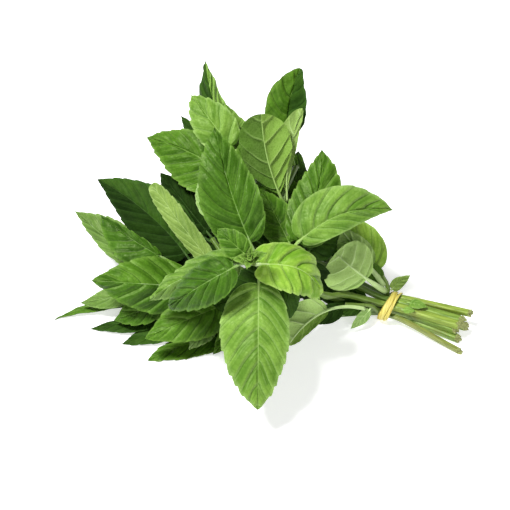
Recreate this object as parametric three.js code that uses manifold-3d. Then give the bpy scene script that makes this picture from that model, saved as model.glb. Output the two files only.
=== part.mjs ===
// A bunch of fresh mint, cut, tied with a rubber band and laid on a table.
//
// Millimetres, +Z up, table at z = 0. X runs along the bunch, from the leaf tips (-X) to the cut stem
// ends (+X), and Y runs across it. Nine sprigs leave the band and fan out. Each sprig is a square stem
// that climbs through its nodes, with leaves at the nodes and, on the front sprig, an open bud at the top.
// Each stem, leaf and bud is a solid of its own, and they stand a hair apart where they meet.

import * as THREE from "three";
import { mergeVertices } from "three/addons/utils/BufferGeometryUtils.js";
import Module from "manifold-3d";

const wasm = await Module();
wasm.setup();

// ---------------------------------------------------------------- driving dimensions

const ORIGIN = new THREE.Vector3(-1.3, 24, 0); // centre of the bunch's outline on the table
const GAP = 0.5; // left between two pieces that meet

const STEM_HALF_WIDTH = 1.65; // at the cut end, across the flats
const STEM_TOP_SHARE = 0.62; // share of that width left at the top of a sprig
const STEM_CORNER = 0.42; // chamfer of the square stem's corners, as a share of that
const STEM_STEPS = 22;
const CURVE_SAMPLES = 200; // points along a stem, where a node's place on it is looked for

const BLADE_THICKNESS = 0.6;
const PETIOLE_HALF_WIDTH = 0.75;
const TIP_HALF_WIDTH = 0.35;
const LENGTH_STEPS = 9;
const WIDTH_STEPS = 4;

const BAND_AT = new THREE.Vector3(64, 8.2, 0); // under the middle of the band, on the table
const BUNDLE_AXIS = new THREE.Vector3(0.96, -0.28, 0).normalize(); // from the band to the cut ends
const BUNDLE_SIDE = new THREE.Vector3(0, 0, 1).cross(BUNDLE_AXIS);
const BAND_CENTRE_HEIGHT = 6.6;
const BAND_HALF_WIDTH = 8.4; // outside, across the bundle
const BAND_HALF_HEIGHT = 6.5; // outside, up and down
const BAND_WALL = 0.9;
const TURN_WIDTH = 2.1; // one turn of the band, along the stems
const TURN_TILT = 7; // degrees that each of the two turns leans, so that they cross
const BAND_SEGMENTS = 28;
const BAND_REACH = [3, -4]; // the stems run straight from here to here, along the bundle, through the band

const BUD_PROFILE = [[0, 0], [1.5, 0.8], [2.4, 2.6], [1.9, 5], [0.8, 7.4], [0, 8.6]]; // radius, height
const BUD_SIDES = 8;

const colours = {
  leaf: new THREE.MeshStandardMaterial({ color: 0x4f8a2c, roughness: 0.55, metalness: 0 }),
  young_leaf: new THREE.MeshStandardMaterial({ color: 0x86bb3a, roughness: 0.5, metalness: 0 }),
  stem: new THREE.MeshStandardMaterial({ color: 0x7ea544, roughness: 0.5, metalness: 0 }),
  rubber: new THREE.MeshStandardMaterial({ color: 0xe2c650, roughness: 0.6, metalness: 0 }),
};

// ---------------------------------------------------------------- the sprigs

// A leaf's row. Its bends are all optional:
//   arch: how far the midrib bows out of the leaf's plane, at a third and at two thirds of its length
//   sway: how far the midrib bows sideways, to the left of someone who stands on the leaf facing its tip
//   fold: degrees that the halves rise from the midrib; curl: degrees more by the margin
//   lift: degrees more that the right and the left half rise, for someone who stands so
//   petiole: the stalk's share of the length; halves: how wide the right and the left half are for their size
//   shoulder: how slowly the blade widens from its base; taper: how straight it runs to its tip
function leaf(name, node, tip, width, face, bends = {}) {
  const flat = { arch: [3, 3], sway: 0, fold: 5, curl: -8, lift: [0, 0], petiole: 0.08 };
  const outline = { halves: [1, 1], shoulder: 0.55, taper: 1 };
  return { name, node, tip, width, face, ...flat, ...outline, ...bends };
}

// end:    the cut end, as [distance from the band along the bundle, across it, height]
// slot:   where the stem passes the band, as [across the bundle, height]
// nodes:  points that the stem then climbs through; the last one is its top
// leaves: name, node (its place in nodes), tip, width, face (the way the upper side looks), bends
const SPRIGS = [
  {
    name: "front",
    end: [33, -4.6, 9.6],
    slot: [-2.5, 9.95],
    nodes: [
      [51, 7, 13.5], [40, 6.5, 18.5], [31, 0, 25.5], [16, -8, 46],
      [-2, -11, 62], [-5, -17, 71], [-6, -21, 78],
    ],
    leaves: [
      leaf("down", 4, [-2.7, -62.1, 19.1], 33, [0, -0.6, 0.8],
        { arch: [7, 7], fold: -4, petiole: 0.1, halves: [1.06, 0.85], taper: 0.88 }),
      leaf("tall", 4, [-23, 44, 96], 28, [0.1, -0.5, 0.8],
        { arch: [1, 3], sway: 3, fold: 12, curl: -14, petiole: 0.14, halves: [0.87, 1.12] }),
      leaf("right", 5, [26, -20, 48], 24, [0.3, -0.35, 0.9],
        { arch: [10, 10], sway: 6, fold: -6, curl: -22, petiole: 0.03, halves: [0.95, 1], taper: 0.85 }),
      leaf("left_long", 5, [-54, -13, 38], 20, [-0.2, -0.3, 0.9],
        { sway: -5, fold: -20, halves: [1.1, 1] }),
      leaf("left_low", 6, [-45, -21, 42], 20, [-0.1, -0.5, 0.85],
        { arch: [7, 6], fold: -10, petiole: 0.12 }),
      leaf("small", 6, [-21, -8, 84], 12, [-0.1, -0.6, 0.8], { arch: [1, 1], petiole: 0.06 }),
    ],
  },
  {
    name: "right",
    end: [33.5, -1.2, 9.4],
    slot: [0.9, 10.1],
    nodes: [[45, 13, 18], [32, 14, 30], [20, 8, 44], [14, 5, 53], [13, 4, 57]],
    leaves: [
      leaf("long", 4, [61.8, 24.3, 60.3], 22, [0.1, -0.55, 0.8],
        { arch: [7, 6], sway: 8, petiole: 0.06, halves: [0.75, 1.3] }),
      leaf("up", 3, [28, 50, 75], 22, [0, -0.6, 0.8],
        { arch: [0, 0], sway: -5, petiole: 0.06, halves: [1.25, 1.05] }),
      leaf("middle", 3, [0, 40, 56], 18, [0, -0.6, 0.8], { arch: [2, 2] }),
      leaf("under", 2, [36, 34, 40.5], 19, [0.3, -0.6, 0.7], { arch: [0, 0] }),
    ],
  },
  {
    name: "up",
    end: [31, 2.3, 6.1],
    slot: [5.3, 6.55],
    nodes: [[40, 20, 18], [33, 22, 25], [24, 24, 34], [13, 31, 47], [10, 37, 53], [16, 54, 59]],
    leaves: [
      leaf("underside", 4, [-1, 59, 90], 24, [-0.1, 0.75, -0.6],
        { arch: [-3, -1], sway: -3, fold: 15, halves: [1, 1.1], taper: 0.5, shoulder: 0.9 }),
      leaf("crown", 5, [18, 90, 90], 23, [-0.1, -0.6, 0.8],
        { arch: [-4, -3], sway: 6, fold: 22, curl: 14, petiole: 0.3, halves: [1.1, 1.1], taper: 0.75, shoulder: 0.45, lift: [12, 0] }),
      leaf("sheath", 4, [19, 68.5, 84], 12, [-0.2, 0.75, -0.6],
        { arch: [-1, 0], sway: -4, fold: 10, halves: [1.1, 0.5], taper: 0.6, shoulder: 0.9 }),
      leaf("shadow", 2, [15, 66, 58], 12, [0.4, -0.6, 0.6], { arch: [-4, -3], halves: [0.5, 1.1] }),
      leaf("back", 1, [34, 76, 0.4], 26, [0.2, 0.5, 0.8], { arch: [10, 8] }),
    ],
  },
  {
    name: "back",
    end: [29, 1, 2.4],
    slot: [1.7, 3.05],
    nodes: [
      [44, 14, 5.5], [36, 16, 11], [20, 20, 26], [8, 25, 38],
      [-1, 30, 46], [-9, 45, 56], [-12, 59, 64],
    ],
    leaves: [
      leaf("light", 6, [-35.5, 86, 76], 20, [-0.1, -0.5, 0.85], { arch: [4, 4] }),
      leaf("spire", 5, [-29, 110.2, 75.6], 24, [-0.1, -0.6, 0.8],
        { arch: [-2, -2], sway: 4, fold: -38, curl: 0, halves: [0.8, 1.4] }),
      leaf("fin", 6, [-20, 86, 70], 13, [0.4, -0.5, 0.7], { arch: [-1, 0], fold: 8, halves: [1.6, 1] }),
      leaf("outer", 5, [-57.5, 75, 57], 27, [-0.2, -0.5, 0.85],
        { arch: [1, 3], sway: -4, halves: [0.92, 1.2] }),
      leaf("dark", 4, [-42, 101.5, 46], 18, [-0.2, -0.4, 0.9], { arch: [-2, 0] }),
      leaf("floor", 3, [-20, 92, 12], 24, [-0.2, 0.4, 0.8], { arch: [8, 6] }),
    ],
  },
  {
    name: "upper_left",
    end: [35.5, -1.6, 6],
    slot: [1.7, 6.55],
    nodes: [[44, 9.7, 9], [30, 10, 13], [-2, 9, 28], [-16, 15, 33], [-25, 27, 36]],
    leaves: [
      leaf("shade", 4, [-51, 65, 42], 19, [-0.2, -0.5, 0.85], { arch: [4, 3] }),
      leaf("deep", 3, [-34, 56, 14], 20, [-0.1, 0.2, 0.9], { arch: [0, 1] }),
    ],
  },
  {
    name: "left",
    end: [31.5, -5, 6],
    slot: [-1.9, 6.55],
    nodes: [
      [44, 5.2, 7.5], [28, 4, 10], [-4, 5, 15], [-14, 6, 17],
      [-30, 10, 22], [-44, 17, 26], [-58, 17, 22],
    ],
    leaves: [
      leaf("strip", 3, [-54.5, 49, 51.5], 10.5, [-0.3, -0.6, 0.7],
        { fold: 10, petiole: 0.24, taper: 0.3, shoulder: 0.3 }),
      leaf("dark_upper", 4, [-82, 58, 45], 22.6, [-0.2, -0.5, 0.85],
        { arch: [3, 2], sway: -7, petiole: 0.2, halves: [1.28, 1.15] }),
      leaf("dark_inner", 5, [-58, 60, 1], 24, [-0.3, 0.2, 0.9], { arch: [2, 3] }),
      leaf("pale_edge", 6, [-94, 52, 28], 14, [-0.5, -0.4, 0.75],
        { arch: [1, 1], fold: 0, curl: 0, halves: [1.6, 0.88], taper: 1.1 }),
      leaf("grey", 5, [-80, 44, 34], 20, [-0.1, -0.5, 0.85],
        { arch: [6, 5], sway: 2, petiole: 0.16, halves: [0.3, 1.15] }),
      leaf("broad", 4, [-82.6, 5.6, 30], 22.6, [-0.1, -0.6, 0.8],
        { arch: [4, 10], fold: -18, halves: [1.28, 1.32] }),
      leaf("glossy", 3, [-57, -19, 16], 23, [-0.1, -0.6, 0.8], { arch: [7, 8], fold: -6 }),
      leaf("pale_tip", 6, [-90, 11, 6], 12, [0, -0.5, 0.85], { arch: [0, 1], sway: 4, fold: 0, curl: 0 }),
      leaf("blunt", 5, [-73, -0.5, 7], 17, [0, -0.4, 0.85],
        { arch: [0, 1], sway: 7, fold: 0, curl: 0, halves: [1.4, 1] }),
      leaf("fore", 2, [-24, -18, 2.5], 13, [0, -0.8, 0.5], { arch: [-3, -2] }),
    ],
  },
  {
    name: "low",
    end: [33.5, -7, 2.6],
    slot: [-1.9, 3.05],
    nodes: [[28, 5, 3], [-8, -3, 3], [-24, -1, 4], [-34, 2, 5], [-44, 7, 6], [-56, 13, 9]],
    leaves: [
      leaf("floor", 1, [-56, -20, 0.4], 15, [-0.1, 0, 1],
        { arch: [-1.4, -0.6], sway: -5, fold: 2, curl: 0, halves: [0.75, 1.2], taper: 0.75 }),
      leaf("pale_under", 2, [-36, -17, 5], 9, [0, -0.3, 0.9], { arch: [4, 4], fold: 4, curl: 0 }),
      leaf("dark_low", 3, [-69, -10.2, 0.4], 11, [0, 0, 1],
        { arch: [0.5, 0.3], fold: 0, curl: 0, halves: [1.3, 1.1] }),
      leaf("dark_tip", 4, [-85, -1, 0.4], 12, [0, 0, 1],
        { arch: [0, 0], fold: 0, curl: 0, halves: [0.5, 1.2] }),
      leaf("spear", 5, [-103, 5, 0.4], 8, [0, 0.2, 0.9], { arch: [-1, 0], sway: -5, fold: 0, curl: 0 }),
    ],
  },
  {
    name: "near",
    thinness: 0.85,
    end: [36.5, 4, 9.8],
    slot: [4.2, 9.7],
    nodes: [[61.5, 14, 12.8], [60.5, 16, 15.8], [58.5, 18, 19]],
    leaves: [
      leaf("pale_left", 0, [34.5, 14.2, 40], 25, [0.1, 0.6, -0.6],
        { arch: [-7, -4], fold: 2, curl: 0, petiole: 0.44, halves: [1.15, 1], taper: 0.4 }),
      leaf("pale_up", 1, [36.4, 29, 43], 20, [0.1, 0.7, -0.5],
        { arch: [-4.4, -2], sway: 1, fold: 4, curl: 0, petiole: 0.34, halves: [1, 0.65] }),
      leaf("green", 2, [36.4, 32.5, 42.3], 19, [0.1, -0.6, 0.8],
        { arch: [0, 1], sway: -4, petiole: 0.1, halves: [1.05, 1], taper: 0.8, shoulder: 0.6 }),
      leaf("sprout", 0, [72, 17, 20], 6.5, [0.4, -0.6, 0.6],
        { arch: [-2, -1], petiole: 0.02, shoulder: 0.45 }),
    ],
  },
  {
    name: "hanging",
    thinness: 0.7,
    end: [35.5, -13.6, 1.75],
    slot: [-5.9, 6.3],
    nodes: [[53, 4.2, 12], [49, 4.1, 12.9], [40, 3.5, 14.5]],
    leaves: [
      leaf("folded", 1, [12, -17, 8.5], 17, [-0.2, 0.6, -0.8],
        { arch: [-7, -7], sway: 10, fold: 4, petiole: 0.43, halves: [0.52, 1.25], taper: 0.5 }),
      leaf("shade", 2, [23, -2, 6], 10, [0.6, -0.6, 0.6], { arch: [-1, -1], petiole: 0.1 }),
      leaf("drop", 0, [43, -3, 3.2], 6.4, [0.4, -0.7, 0.5], { arch: [1, 1], petiole: 0.04 }),
    ],
  },
];

// ---------------------------------------------------------------- helpers

const point = ([x, y, z]) => new THREE.Vector3(x, y, z).sub(ORIGIN);
const degrees = THREE.MathUtils.degToRad;

function solidOf(geometry) {
  const bare = geometry.clone().deleteAttribute("normal").deleteAttribute("uv");
  const merged = mergeVertices(bare, 1e-3);
  return new wasm.Manifold(
    new wasm.Mesh({
      numProp: 3,
      vertProperties: merged.attributes.position.array,
      triVerts: new Uint32Array(merged.index.array),
    }),
  );
}

function geometryOf(solid) {
  const mesh = solid.getMesh();
  return new THREE.BufferGeometry()
    .setAttribute("position", new THREE.BufferAttribute(mesh.vertProperties, 3))
    .setIndex(new THREE.BufferAttribute(mesh.triVerts, 1));
}

// A point of the bundle: along it from the band, across it, and above the table.
function inBundle(along, across, height) {
  return BAND_AT.clone()
    .addScaledVector(BUNDLE_AXIS, along)
    .addScaledVector(BUNDLE_SIDE, across)
    .setZ(height)
    .sub(ORIGIN);
}

// ---------------------------------------------------------------- stems

function stemCurve(sprig) {
  const [across, height] = sprig.slot;
  const tied = BAND_REACH.map((along) => inBundle(along, across, height));
  const points = [inBundle(...sprig.end), ...tied, ...sprig.nodes.map(point)];
  return new THREE.CatmullRomCurve3(points, false, "centripetal");
}

// A chamfered square, its flats facing the four sides of the stem.
function stemSection(halfWidth) {
  const flat = halfWidth;
  const corner = halfWidth * (1 - STEM_CORNER);
  const section = new THREE.Shape();
  section.moveTo(flat, -corner);
  [[flat, corner], [corner, flat], [-corner, flat], [-flat, corner],
    [-flat, -corner], [-corner, -flat], [corner, -flat]].forEach(([x, y]) => section.lineTo(x, y));
  return section;
}

// The extruded stem, then each point drawn in towards the curve so that the stem thins to its top.
function stemGeometry(curve, halfWidth) {
  const path = { steps: STEM_STEPS, extrudePath: curve };
  const geometry = new THREE.ExtrudeGeometry(stemSection(halfWidth), path);
  const rings = curve.getSpacedPoints(STEM_STEPS);
  const position = geometry.attributes.position;
  const vertex = new THREE.Vector3();
  for (let i = 0; i < position.count; i++) {
    vertex.fromBufferAttribute(position, i);
    const distances = rings.map((ring) => ring.distanceToSquared(vertex));
    const nearest = distances.indexOf(Math.min(...distances));
    const share = 1 - (1 - STEM_TOP_SHARE) * (nearest / STEM_STEPS);
    vertex.lerp(rings[nearest], 1 - share);
    position.setXYZ(i, ...vertex);
  }
  return geometry;
}

// ---------------------------------------------------------------- leaves

// The blade's half width at a share of its own length, as a share of the widest half width.
function outline({ shoulder, taper }, x) {
  const widest = shoulder / (shoulder + taper);
  return (x / widest) ** shoulder * ((1 - x) / (1 - widest)) ** taper;
}

// Where a leaf leaves its stem: on the stem's side that looks to the leaf's tip.
function attachment(curve, nodePoint, tip, halfWidth) {
  const samples = curve.getPoints(CURVE_SAMPLES);
  const distances = samples.map((sample) => sample.distanceToSquared(nodePoint));
  const at = distances.indexOf(Math.min(...distances)) / CURVE_SAMPLES;
  const along = curve.getTangent(at);
  const outward = tip.clone().sub(nodePoint);
  outward.addScaledVector(along, -outward.dot(along)).normalize();
  return nodePoint.clone().addScaledVector(outward, halfWidth + GAP);
}

// A leaf is a box, one segment thick, with every point moved onto the curved blade.
function leafGeometry(leaf, base, tip) {
  const length = tip.clone().sub(base);
  const lengthwise = length.clone().normalize();
  const face = new THREE.Vector3(...leaf.face);
  face.addScaledVector(lengthwise, -face.dot(lengthwise)).normalize();
  const side = face.clone().cross(lengthwise);
  const control = (share, arch) =>
    base.clone()
      .addScaledVector(length, share)
      .addScaledVector(face, arch)
      .addScaledVector(side, leaf.sway);
  const midrib = new THREE.CubicBezierCurve3(
    base, control(1 / 3, leaf.arch[0]), control(2 / 3, leaf.arch[1]), tip);

  const geometry = new THREE.BoxGeometry(1, 2, 1, LENGTH_STEPS, WIDTH_STEPS, 1);
  const position = geometry.attributes.position;
  for (let i = 0; i < position.count; i++) {
    const station = Math.round((position.getX(i) + 0.5) * LENGTH_STEPS);
    const across = position.getY(i);
    const through = position.getZ(i);
    const share = (station - 1) / (LENGTH_STEPS - 1);
    const along = station === 0 ? 0 : leaf.petiole + (1 - leaf.petiole) * share;
    const half = across > 0 ? 1 : 0;
    const halfWidth = station <= 1
      ? PETIOLE_HALF_WIDTH
      : Math.max(TIP_HALF_WIDTH, (leaf.width / 2) * outline(leaf, share) * leaf.halves[half]);
    const thickness = station <= 1 ? 2 * PETIOLE_HALF_WIDTH : BLADE_THICKNESS;

    const tangent = midrib.getTangent(along);
    const up = face.clone().addScaledVector(tangent, -face.dot(tangent)).normalize();
    const sideways = up.clone().cross(tangent);

    // The section is an arc: it leaves the midrib at the fold angle and turns by the curl to the margin.
    const out = Math.abs(across) * halfWidth;
    const turned = degrees(leaf.fold + leaf.lift[half] + (leaf.curl * Math.abs(across)) / 2);
    const moved = midrib.getPoint(along)
      .addScaledVector(sideways, Math.sign(across) * out * Math.cos(turned))
      .addScaledVector(up, out * Math.sin(turned) + through * thickness);
    position.setXYZ(i, ...moved);
  }
  return geometry;
}

// ---------------------------------------------------------------- bud and band

// The open bud: a slender teardrop along the last stretch of the stem.
function budGeometry(curve) {
  const profile = BUD_PROFILE.map(([radius, height]) => new THREE.Vector2(radius, height));
  const geometry = new THREE.LatheGeometry(profile, BUD_SIDES);
  const top = curve.getPoint(1);
  const upwards = curve.getTangent(1);
  const turn = new THREE.Quaternion().setFromUnitVectors(new THREE.Vector3(0, 1, 0), upwards);
  const matrix = new THREE.Matrix4().compose(
    top.clone().addScaledVector(upwards, GAP), turn, new THREE.Vector3(1, 1, 1));
  return geometry.applyMatrix4(matrix);
}

// One turn of the band: an oval hoop across the bundle, leaning along it.
function turnSolid(tilt) {
  const hoop = new THREE.Shape().absellipse(0, 0, BAND_HALF_WIDTH, BAND_HALF_HEIGHT, 0, 2 * Math.PI);
  hoop.holes.push(new THREE.Path().absellipse(
    0, 0, BAND_HALF_WIDTH - BAND_WALL, BAND_HALF_HEIGHT - BAND_WALL, 0, 2 * Math.PI, true));
  const geometry = new THREE.ExtrudeGeometry(hoop, {
    depth: TURN_WIDTH, bevelEnabled: false, curveSegments: BAND_SEGMENTS,
  });
  geometry.translate(0, 0, -TURN_WIDTH / 2).rotateX(degrees(tilt));
  const matrix = new THREE.Matrix4().makeBasis(BUNDLE_SIDE, new THREE.Vector3(0, 0, 1), BUNDLE_AXIS);
  matrix.setPosition(inBundle(0, 0, BAND_CENTRE_HEIGHT));
  return solidOf(geometry.applyMatrix4(matrix));
}

// ---------------------------------------------------------------- the bunch

const bunch = new THREE.Group();
bunch.name = "mint_bunch";

function addPiece(group, name, geometry, material) {
  const mesh = new THREE.Mesh(geometry, material);
  mesh.name = name;
  group.add(mesh);
}

for (const sprig of SPRIGS) {
  const group = new THREE.Group();
  const curve = stemCurve(sprig);
  const halfWidth = STEM_HALF_WIDTH * (sprig.thinness ?? 1);
  addPiece(group, `${sprig.name}_stem`, stemGeometry(curve, halfWidth), colours.stem);
  for (const leaf of sprig.leaves) {
    const tip = point(leaf.tip);
    const base = attachment(curve, point(sprig.nodes[leaf.node]), tip, halfWidth);
    addPiece(group, `${sprig.name}_leaf_${leaf.name}`, leafGeometry(leaf, base, tip), colours.leaf);
  }
  if (sprig.name === "front") addPiece(group, "front_bud", budGeometry(curve), colours.young_leaf);
  bunch.add(group);
}

addPiece(bunch, "rubber_band", geometryOf(turnSolid(TURN_TILT).add(turnSolid(-TURN_TILT))), colours.rubber);

export default bunch;
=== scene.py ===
"""Fresh mint, cut, tied with a rubber band and laid on a pale table.

Nine sprigs leave the band and fan out. Each one is a square stem that climbs through its nodes, with
toothed, quilted leaves at them, and the front one ends in an open bud. Every stem, leaf and bud stands
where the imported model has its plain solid, but for the spare leaves, which only fill gaps deep in the
bunch. Lengths are in millimetres here, and in metres in the meshes.
"""

import logging
import math
import random
from dataclasses import dataclass, field
from enum import Enum

import bmesh
import bpy
from mathutils import Matrix, Vector, noise

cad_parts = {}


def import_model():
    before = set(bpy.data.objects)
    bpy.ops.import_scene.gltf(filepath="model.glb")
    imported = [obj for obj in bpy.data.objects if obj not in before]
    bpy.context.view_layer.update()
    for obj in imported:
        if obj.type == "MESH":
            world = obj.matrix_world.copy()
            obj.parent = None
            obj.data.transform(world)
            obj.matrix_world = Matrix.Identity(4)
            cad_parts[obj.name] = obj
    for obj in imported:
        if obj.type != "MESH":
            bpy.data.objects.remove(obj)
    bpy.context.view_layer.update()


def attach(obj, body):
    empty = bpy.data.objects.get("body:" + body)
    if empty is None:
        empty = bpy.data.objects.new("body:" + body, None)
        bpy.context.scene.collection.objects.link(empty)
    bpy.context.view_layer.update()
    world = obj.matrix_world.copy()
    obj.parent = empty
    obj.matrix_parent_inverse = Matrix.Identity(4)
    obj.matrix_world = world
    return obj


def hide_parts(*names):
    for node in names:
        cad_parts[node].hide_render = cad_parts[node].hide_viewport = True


Triple = tuple[float, float, float]
Pair = tuple[float, float]
Mesh = bmesh.types.BMesh
Piece = bpy.types.Object
Material = bpy.types.Material
Socket = bpy.types.NodeSocket

log = logging.getLogger("mint")

MM = 0.001
UP = Vector((0, 0, 1))
ORIGIN = Vector((-1.3, 24, 0))  # centre of the bunch's outline on the table
FIELD = "field"  # the UV map: side veins passed and the way out on a leaf, rings and turns on a stem


# ---------------------------------------------------------------- shared geometry


class Path:
    """A smooth line through a few points: a centripetal Catmull-Rom spline."""

    LEAST_GAP = 1e-6
    STEP = 1e-4  # half the share over which its direction is taken
    SAMPLES = 200  # places tried for the nearest one

    def __init__(self, points: list[Vector]) -> None:
        """Keeps the points that the line passes.

        Args:
            points: Two or more points, in order.
        """
        self.points = points

    def at(self, share: float) -> Vector:
        """A point of the line.

        Args:
            share: 0 at the first point and 1 at the last, with each span an equal share.

        Returns:
            The point there.
        """
        last = len(self.points) - 1
        place = min(max(share, 0), 1) * last
        span = min(int(place), last - 1)
        weight = place - span
        start, end = self.points[span], self.points[span + 1]
        before = self.points[span - 1] if span > 0 else 2 * start - end
        after = self.points[span + 2] if span + 2 <= last else 2 * end - start
        spans = ((before, start), (start, end), (end, after))
        gaps = [math.sqrt(max((b - a).length, self.LEAST_GAP)) for a, b in spans]
        leave = self._slope(before, start, end, gaps[0], gaps[1]) * gaps[1]
        arrive = self._slope(start, end, after, gaps[1], gaps[2]) * gaps[1]
        square, cube = weight**2, weight**3
        return (
            start * (2 * cube - 3 * square + 1)
            + leave * (cube - 2 * square + weight)
            + end * (3 * square - 2 * cube)
            + arrive * (cube - square)
        )

    @staticmethod
    def _slope(a: Vector, b: Vector, c: Vector, first: float, second: float) -> Vector:
        """The line's slope at b, between a and c, which lie first and second away."""
        return (b - a) / first - (c - a) / (first + second) + (c - b) / second

    def tangent(self, share: float) -> Vector:
        """The direction in which the line runs at a share of it."""
        return (self.at(min(share + self.STEP, 1)) - self.at(max(share - self.STEP, 0))).normalized()

    def nearest(self, target: Vector) -> float:
        """The share at which the line passes closest to a point."""
        shares = [i / self.SAMPLES for i in range(self.SAMPLES + 1)]
        return min(shares, key=lambda share: (self.at(share) - target).length)


def new_tube(rings: int, sides: int) -> tuple[Mesh, list[bmesh.types.BMFace]]:
    """A closed tube of radius 1 along Z, from z = 0 to z = 1.

    Args:
        rings: Spans along the tube.
        sides: Faces around it.

    Returns:
        The mesh, and its two end faces, the one at z = 0 first.
    """
    bm = bmesh.new()
    bmesh.ops.create_cone(bm, cap_ends=True, segments=sides, radius1=1, radius2=1, depth=1)
    bmesh.ops.translate(bm, verts=bm.verts, vec=(0, 0, 0.5))
    sides_up = [edge for edge in bm.edges if abs(edge.verts[0].co.z - edge.verts[1].co.z) > 0.5]
    bmesh.ops.subdivide_edges(bm, edges=sides_up, cuts=rings - 1, use_grid_fill=True)
    ends = [face for face in bm.faces if len(face.verts) == sides]
    return bm, sorted(ends, key=lambda face: face.calc_center_median().z)


def finished(name: str, islands: list[Mesh], materials: list[Material]) -> Piece:
    """One object made of one or more closed meshes.

    Args:
        name: The object's name.
        islands: The meshes, in metres, with their places in them. They are freed.
        materials: The object's materials, in the order of the faces' numbers.

    Returns:
        The object, at the origin, smooth shaded except at the edges marked sharp.
    """
    whole = bmesh.new()
    whole.loops.layers.uv.new(FIELD)
    for island in islands:
        mesh = bpy.data.meshes.new(name)
        island.to_mesh(mesh)
        island.free()
        whole.from_mesh(mesh)
        bpy.data.meshes.remove(mesh)
    for face in whole.faces:
        face.smooth = True
    mesh = bpy.data.meshes.new(name)
    whole.to_mesh(mesh)
    whole.free()
    for material in materials:
        mesh.materials.append(material)
    piece = bpy.data.objects.new(name, mesh)
    bpy.context.scene.collection.objects.link(piece)
    return piece


def eased(low: float, high: float, value: float) -> float:
    """0 at low and beyond, 1 at high and beyond, and a smooth change between them."""
    share = min(max((value - low) / (high - low), 0), 1)
    return share * share * (3 - 2 * share)


# ---------------------------------------------------------------- finishes


class Paint:
    """A procedural material in the making, with short ways to add and join its nodes."""

    def __init__(self, name: str) -> None:
        """Starts an empty material.

        Args:
            name: The material's name.
        """
        self.material = bpy.data.materials.new(name)
        self.material.use_nodes = True
        self.tree = self.material.node_tree
        self.tree.nodes.clear()

    def node(self, kind: str, sockets: dict | None = None, **settings: object) -> bpy.types.Node:
        """Adds a node.

        Args:
            kind: The node's type, without its ShaderNode prefix.
            sockets: Values or other nodes' outputs, by the input's name or number.
            settings: Properties of the node.

        Returns:
            The node.
        """
        made = self.tree.nodes.new("ShaderNode" + kind)
        for key, value in settings.items():
            setattr(made, key, value)
        for key, value in (sockets or {}).items():
            if isinstance(value, Socket):
                self.tree.links.new(value, made.inputs[key])
            else:
                made.inputs[key].default_value = value
        return made

    def math(self, operation: str, *values: object) -> Socket:
        """The result of a Math node on one, two or three values."""
        return self.node("Math", dict(enumerate(values)), operation=operation).outputs[0]

    def plus(self, first: object, second: object) -> Socket:
        """The sum of two values."""
        return self.math("ADD", first, second)

    def times(self, first: object, second: object) -> Socket:
        """The product of two values."""
        return self.math("MULTIPLY", first, second)

    def ramp(self, value: object, low: float, high: float, start: float = 0, end: float = 1) -> Socket:
        """A smooth change from start to end as a value goes from low to high."""
        sockets = {"Value": value, "From Min": low, "From Max": high, "To Min": start, "To Max": end}
        return self.node("MapRange", sockets, interpolation_type="SMOOTHSTEP").outputs[0]

    def mix(self, share: object, first: object, second: object) -> Socket:
        """A colour between two others."""
        made = self.node("Mix", {0: share, 6: self.colour(first), 7: self.colour(second)}, data_type="RGBA")
        return made.outputs[2]

    def coats(self, colour: object, *coats: tuple[object, object]) -> Socket:
        """A colour with others laid over it in turn, each by its share.

        Args:
            colour: The colour underneath.
            coats: Each coat's share, and its colour.

        Returns:
            The last colour.
        """
        for share, coat in coats:
            colour = self.mix(share, colour, coat)
        return colour

    @staticmethod
    def colour(value: object) -> object:
        """A colour with its alpha, or the socket it was given."""
        return value if isinstance(value, Socket) else (*value, 1)

    def place(self) -> Socket:
        """The piece's own coordinates, in metres."""
        return self.node("TexCoord").outputs["Object"]

    def field(self) -> tuple[Socket, Socket]:
        """The two coordinates of the piece's UV map."""
        split = self.node("SeparateXYZ", {0: self.node("UVMap", uv_map=FIELD).outputs[0]})
        return split.outputs[0], split.outputs[1]

    def noise(self, grain: float, detail: float = 2) -> Socket:
        """Soft noise whose blotches are a grain across, in millimetres."""
        sockets = {"Vector": self.place(), "Scale": 1 / (grain * MM), "Detail": detail}
        return self.node("TexNoise", sockets).outputs[0]

    def cells(self, grain: float) -> Socket:
        """0 on the walls of a net of cells a grain across, in millimetres, and more inside them."""
        sockets = {"Vector": self.place(), "Scale": 1 / (grain * MM)}
        return self.node("TexVoronoi", sockets, feature="DISTANCE_TO_EDGE").outputs[0]

    def bump(self, height: object, depth: float, strength: float = 1) -> Socket:
        """Normals bent by a height, for a relief a depth deep, in millimetres."""
        sockets = {"Height": height, "Distance": depth * MM, "Strength": strength}
        return self.node("Bump", sockets).outputs[0]

    def plain(self, colour: object, rough: object, normal: Socket) -> Material:
        """Finishes a material that lets no light through."""
        sockets = {"Base Color": colour, "Roughness": rough, "Normal": normal}
        return self.finish(self.node("BsdfPrincipled", sockets).outputs[0])

    def finish(self, surface: Socket) -> Material:
        """Joins the surface to the output.

        Args:
            surface: The shader to show.

        Returns:
            The finished material.
        """
        self.node("OutputMaterial", {"Surface": surface})
        return self.material


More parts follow.
